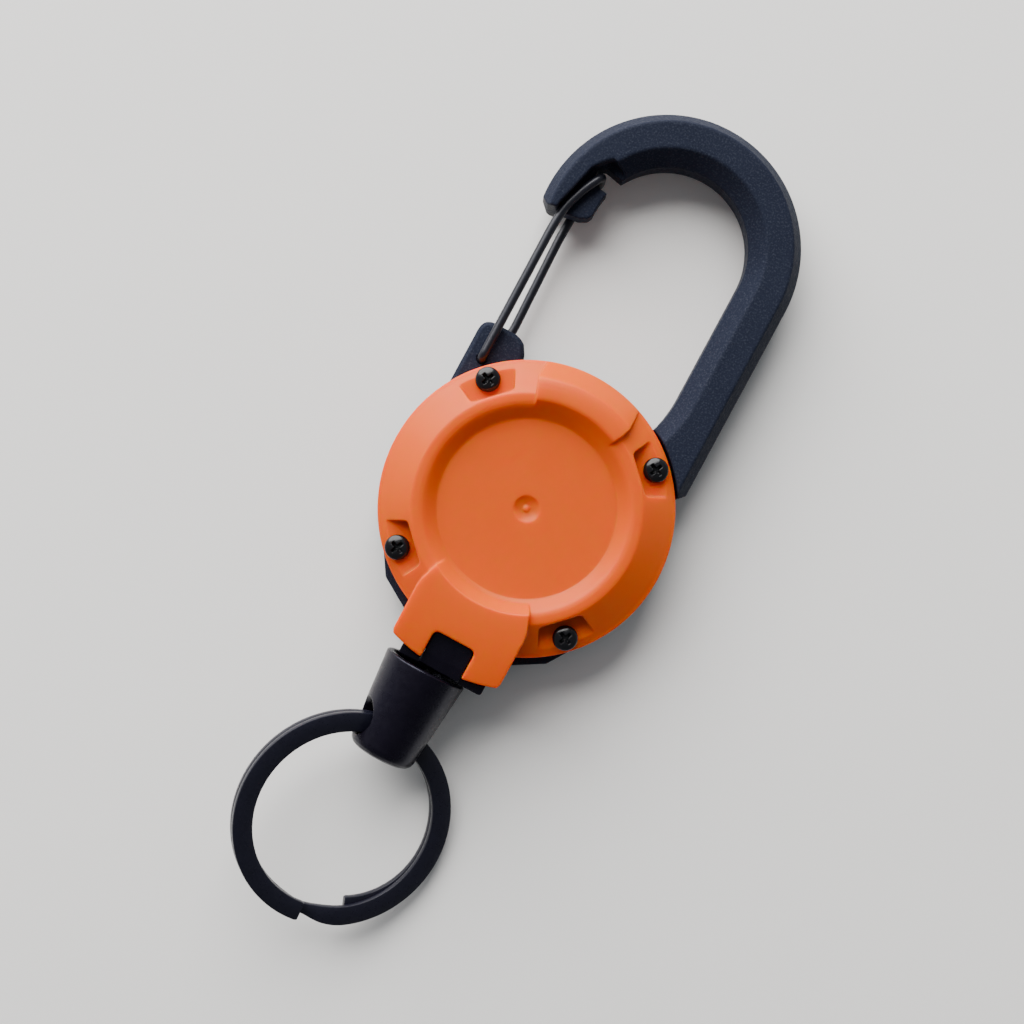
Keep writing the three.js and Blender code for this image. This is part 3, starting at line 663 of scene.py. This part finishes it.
def nozzle_solid():
    left, right, wall_r = -5.95, 6.45, NOSE_R + 0.2
    wall = arc(wall_r, math.asin(right / wall_r) - math.pi / 2,
               math.asin(left / wall_r) - math.pi / 2, 24)
    flange = filleted([(left, FLANGE_Y, 0.3), (right, FLANGE_Y, 0.45)] + wall)
    stem = NOTCH_X - 0.12
    tab = filleted([(-stem, FLANGE_Y + 0.3), (stem, FLANGE_Y + 0.3),
                    (stem, NOTCH_Y - 0.12, 0.85), (-stem, NOTCH_Y - 0.12, 0.85)])
    crown = turned([(0, 0), (26, 0), (26, STEM_TOP_Z - 0.9), (23, STEM_TOP_Z - 0.25),
                    (20, STEM_TOP_Z), (0, STEM_TOP_Z)], 160)
    body = joined(
        prism(flange, 1.9, FLANGE_TOP_Z),
        common(prism(tab, FLOOR_T + 0.2, STEM_TOP_Z + 1), crown),
        block(-stem, stem, -21.0, -19.0, FLOOR_T + 0.2, CHANNEL_TOP_Z - 0.2),
        block(-4.5, 4.5, CHANNEL_END_Y + 0.15, -18.7, FLOOR_T + 0.4, CHANNEL_TOP_Z - 0.4),
    )
    bore = turned([(0, -27), (3.6, -27), (2.7, FLANGE_Y), (1.9, -24.2), (1.4, -23.4), (1.1, -22.4),
                   (1.1, -20.2), (1.5, -19.3), (2.0, -18.8), (2.4, -18.0), (0, -18.0)], 64, "y")
    return cut(body, moved(bore, 0, 0, CORD_Z))


def barrel_place():
    """From the cord's line at x = 0, z = 0 to the barrel's own line, rolled about it."""
    return Matrix.Translation((BARREL_X, 0, CORD_Z)) @ Matrix.Rotation(BARREL_ROLL, 4, "Y")


def barrel_solid():
    low = BARREL_BOTTOM_Y
    bore_r, stop_r, stop_top, stop_floor = 0.8, 1.6, -31.8, -33.5
    body = turned([
        (4.5, BARREL_TOP_Y - 4.0), (4.75, BARREL_TOP_Y - 0.25), (4.95, BARREL_TOP_Y),
        (BARREL_TOP_R - 0.2, BARREL_TOP_Y), (BARREL_TOP_R, BARREL_TOP_Y - 0.2),
        (BARREL_LOW_R + 0.08, low + 1.3), (BARREL_LOW_R - 0.1, low + 0.75),
        (BARREL_LOW_R - 0.5, low + 0.3), (BARREL_LOW_R - 1.1, low + 0.05),
        (BARREL_LOW_R - 1.6, low), (0, low), (0, stop_floor), (stop_r, stop_floor),
        (stop_r, stop_top), (bore_r, stop_top), (bore_r, BARREL_TOP_Y - 4.3),
    ], 160, "y")
    hole = turned([(0, -7), (3.3, -7), (2.75, -5), (2.45, -4.2), (2.3, -3.4), (2.3, 3.4),
                   (2.45, 4.2), (2.75, 5), (3.3, 7), (0, 7)], 64, "x")
    return cut(body, moved(hole, 0, RING_HOLE_Y))


def ring_solid():
    """Two coils of flat wire: the lower one's free end is bent inwards, and then, once round,
    the wire climbs over that end and goes round again on top."""
    middle = RING_R - RING_W / 2
    crossing = math.radians(27)
    total = 4 * math.pi - crossing
    bent = math.radians(60)
    points, sections = [], []
    for swung in np.linspace(0, total, 560):
        past_start = swung - 2 * math.pi + crossing
        climb = eased(past_start / crossing)
        narrow = math.exp(-((past_start / 0.2) ** 2))
        inward = 0.95 * max(0.0, 1 - swung / bent) ** 2
        angle = math.radians(-60) + swung
        radius = middle - inward
        points.append((radius * math.cos(angle) + RING_ASIDE,
                       radius * math.sin(angle) + RING_HOLE_Y - middle,
                       RING_LAYER * (2 * climb - 1)))
        tip = min(swung, total - swung) * middle
        sections.append(wire_section(narrow, 0.92 if tip < 0.15 else 1.0))
    return swept(points, sections, fixed_up=(0, 0, 1))


def wire_section(narrow, size):
    """The ring's flat wire with rounded corners. narrow, up to 1, grinds it away at both sides
    where it passes the other coil's end; size shrinks it at its tips."""
    half_t, edge, nick = RING_T / 2 * size, 0.2, 0.06
    inner, outer = -RING_W / 2 * size + 0.35 * narrow, RING_W / 2 * size - 0.9 * narrow
    return [(inner, -half_t + edge), (inner, half_t - edge), (inner + nick, half_t - nick),
            (inner + edge, half_t), (outer - edge, half_t), (outer - nick, half_t - nick),
            (outer, half_t - edge), (outer, -half_t + edge), (outer - nick, -half_t + nick),
            (outer - edge, -half_t), (inner + edge, -half_t), (inner + nick, -half_t + nick)]


def cord_run():
    """The cord from the spool through the nozzle to its stop in the barrel."""
    mouth_y, guide_y, stop_y = -18.6, -20.4, -31.85
    bend, step = 1.2, 0.2
    tangent_r = WINDING_R + CORD_R + 0.15
    angle = -math.pi / 2 - math.acos(tangent_r / -mouth_y)
    start = (tangent_r * math.cos(angle), tangent_r * math.sin(angle), CORD_Z)
    path = bent_line([start, (0, mouth_y, CORD_Z), (0, guide_y, CORD_Z)], bend, step)
    for y in np.arange(-20.5, stop_y, -0.1):
        path.append(np.array((BARREL_X * eased((-y - 21.5) / 7), y, CORD_Z)))
    return swept(path, circle(CORD_R - 0.02, 16))


def cord_layer(radius, turns, way, start_z, end_z):
    """One layer of the wound cord, its turns lying side by side in the spool. way is 1 for
    anticlockwise turns and -1 for clockwise ones."""
    wound_r, steps_per_turn = 0.42, 60
    path = []
    for t in np.linspace(0, 1, int(turns * steps_per_turn)):
        angle = way * 2 * math.pi * turns * t
        z = start_z + (end_z - start_z) * t
        path.append((radius * math.cos(angle), radius * math.sin(angle), z))
    return swept(path, circle(wound_r, 8))


def case_pieces():
    finished(moulded(rear_solid(), 0.16, 4, 0.5), "rear_shell_and_hook", "case",
             grained_black(), ["rear_case"])
    finished(moulded(cover_solid(), 0.125, 3, 0.5), "front_cover_moulding", "case",
             orange_plastic(), ["front_cover"])
    screw_look = black_metal("black_screw", (0.008, 0.008, 0.010, 1), 0.12)
    screws = on_diagonals(lambda: moulded(screw_solid(), 0.055, 3))
    for number, screw in enumerate(screws, 1):
        finished(screw, f"pan_head_screw_{number}", "case", screw_look,
                 [f"cover_screw_{number}"])


def smaller_pieces():
    wire_look = black_metal("black_wire", (0.014, 0.015, 0.024, 1), 0.3)
    finished(gate_solid(), "wire_gate", "gate", wire_look, ["gate_wire"], 40)
    nozzle_look = gloss_black("nozzle_gloss", 0.2, (0, 0, 0.5))
    finished(moulded(nozzle_solid(), 0.1, 3), "cord_exit_nozzle", "case", nozzle_look,
             ["cord_nozzle"])
    barrel_look = gloss_black("barrel_gloss", 0.24, (0.6, 0.9, 0.3))
    barrel = turn(moulded(barrel_solid(), 0.11, 3, 0.6), barrel_place())
    finished(barrel, "tapered_barrel", "barrel", barrel_look, ["end_barrel"])
    ring_look = black_metal("black_ring", (0.009, 0.009, 0.020, 1), 0.26)
    ring = turn(ring_solid(), barrel_place())
    finished(ring, "double_coil_ring", "ring", ring_look, ["split_ring"], 35)


def cord_pieces():
    """The cord's run, and two layers of turns on the spool, wound up and then down again."""
    look = braided_cord()
    run = finished(cord_run(), "cord_from_spool_to_barrel", None, look,
                   ["cord_feed", "cord_lead"])
    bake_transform(run)
    low_z, high_z = 3.4, 7.3
    inner_turns, outer_turns = 4.5, 3.2
    back_z = high_z - (high_z - low_z) * outer_turns / inner_turns
    inner = cord_layer(HUB_R + CORD_R + 0.16, inner_turns, 1, low_z, high_z)
    outer = cord_layer(HUB_R + CORD_R + CORD_LAYER + 0.12, outer_turns, -1, high_z, back_z)
    finished(inner, "inner_cord_turns", "drum", look, ["cord_winding"])
    finished(outer, "outer_cord_turns", "drum", look)


def dress_cad_nodes():
    """The sealed inner pieces keep their CAD shape and get a real material."""
    nylon = natural_plastic("white_nylon", (0.72, 0.71, 0.66, 1))
    steel = bare_metal("turned_steel", (0.55, 0.56, 0.58, 1), 0.25, (8, 8, 1))
    strip = bare_metal("spring_strip", (0.20, 0.23, 0.28, 1), 0.25, (1, 1, 6))
    looks = {"spool": nylon, "spring_cover": nylon, "rear_washer": nylon, "front_washer": nylon,
             "spool_axle": steel, "cord_stop": steel, "mainspring": strip}
    for name, look in looks.items():
        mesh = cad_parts[name].data
        mesh.materials.clear()
        mesh.materials.append(look)


# ---- floor, light and camera -------------------------------------------------------------------
def camera():
    """Straight above a point near the case's centre, turned so that the hook leans right."""
    data = bpy.data.cameras.new("camera")
    data.lens = 58.0
    data.sensor_width = 36.0
    data.clip_start = 0.01
    obj = bpy.data.objects.new("camera", data)
    obj.location = (-1.5 * MM, -1.3 * MM, 230 * MM)
    obj.rotation_euler = (0, 0, math.radians(28.4))
    bpy.context.scene.collection.objects.link(obj)
    bpy.context.scene.camera = obj


def floor():
    half = 3000 * MM
    mesh = bpy.data.meshes.new("floor")
    mesh.from_pydata([(-half, -half, 0), (half, -half, 0), (half, half, 0), (-half, half, 0)], [],
                     [(0, 1, 2, 3)])
    obj = bpy.data.objects.new("floor", mesh)
    bpy.context.scene.collection.objects.link(obj)
    obj.location.z = -0.06 * MM  # just clear of the rear face
    look = Look("pale_floor", Roughness=0.85)
    look.colour(look.mixed(look.noise(30.0), (0.83, 0.82, 0.81, 1), (0.87, 0.86, 0.85, 1)))
    mesh.materials.append(look.material)


def window():
    """One large soft light, low down on the side of the hook and its gate."""
    azimuth, elevation, distance = math.radians(134), math.radians(28), 0.9
    data = bpy.data.lights.new("window", "AREA")
    data.shape = "DISK"
    data.size = 1.25
    data.energy = 36.0
    data.color = (1.0, 0.985, 0.96)
    obj = bpy.data.objects.new("window", data)
    towards = Vector((math.cos(elevation) * math.cos(azimuth),
                      math.cos(elevation) * math.sin(azimuth), math.sin(elevation)))
    obj.location = towards * distance
    obj.rotation_euler = (-obj.location).to_track_quat("-Z", "Y").to_euler()
    bpy.context.scene.collection.objects.link(obj)


def sky():
    """A soft surround, brighter low down and on the window's side."""
    window_side = (-0.69, 0.72, 0.0)
    height_fade = (0.0, 0.7, 0.60, 0.26)
    side_fade = (-1.0, 1.0, 0.45, 1.45)
    world = bpy.data.worlds.new("studio")
    world.use_nodes = True
    nodes, links = world.node_tree.nodes, world.node_tree.links
    direction = nodes.new("ShaderNodeTexCoord").outputs["Generated"]
    height = nodes.new("ShaderNodeSeparateXYZ")
    links.new(direction, height.inputs[0])
    aside = nodes.new("ShaderNodeVectorMath")
    aside.operation = "DOT_PRODUCT"
    links.new(direction, aside.inputs[0])
    aside.inputs[1].default_value = window_side
    both = nodes.new("ShaderNodeMath")
    both.operation = "MULTIPLY"
    for i, (value, limits) in enumerate(((height.outputs["Z"], height_fade),
                                         (aside.outputs["Value"], side_fade))):
        fade = nodes.new("ShaderNodeMapRange")
        links.new(value, fade.inputs["Value"])
        for socket, number in zip(("From Min", "From Max", "To Min", "To Max"), limits):
            fade.inputs[socket].default_value = number
        links.new(fade.outputs[0], both.inputs[i])
    background = nodes["Background"]
    background.inputs["Color"].default_value = (0.92, 0.96, 1.0, 1)
    links.new(both.outputs[0], background.inputs["Strength"])
    bpy.context.scene.world = world


camera()
floor()
window()
sky()
case_pieces()
smaller_pieces()
cord_pieces()
dress_cad_nodes()
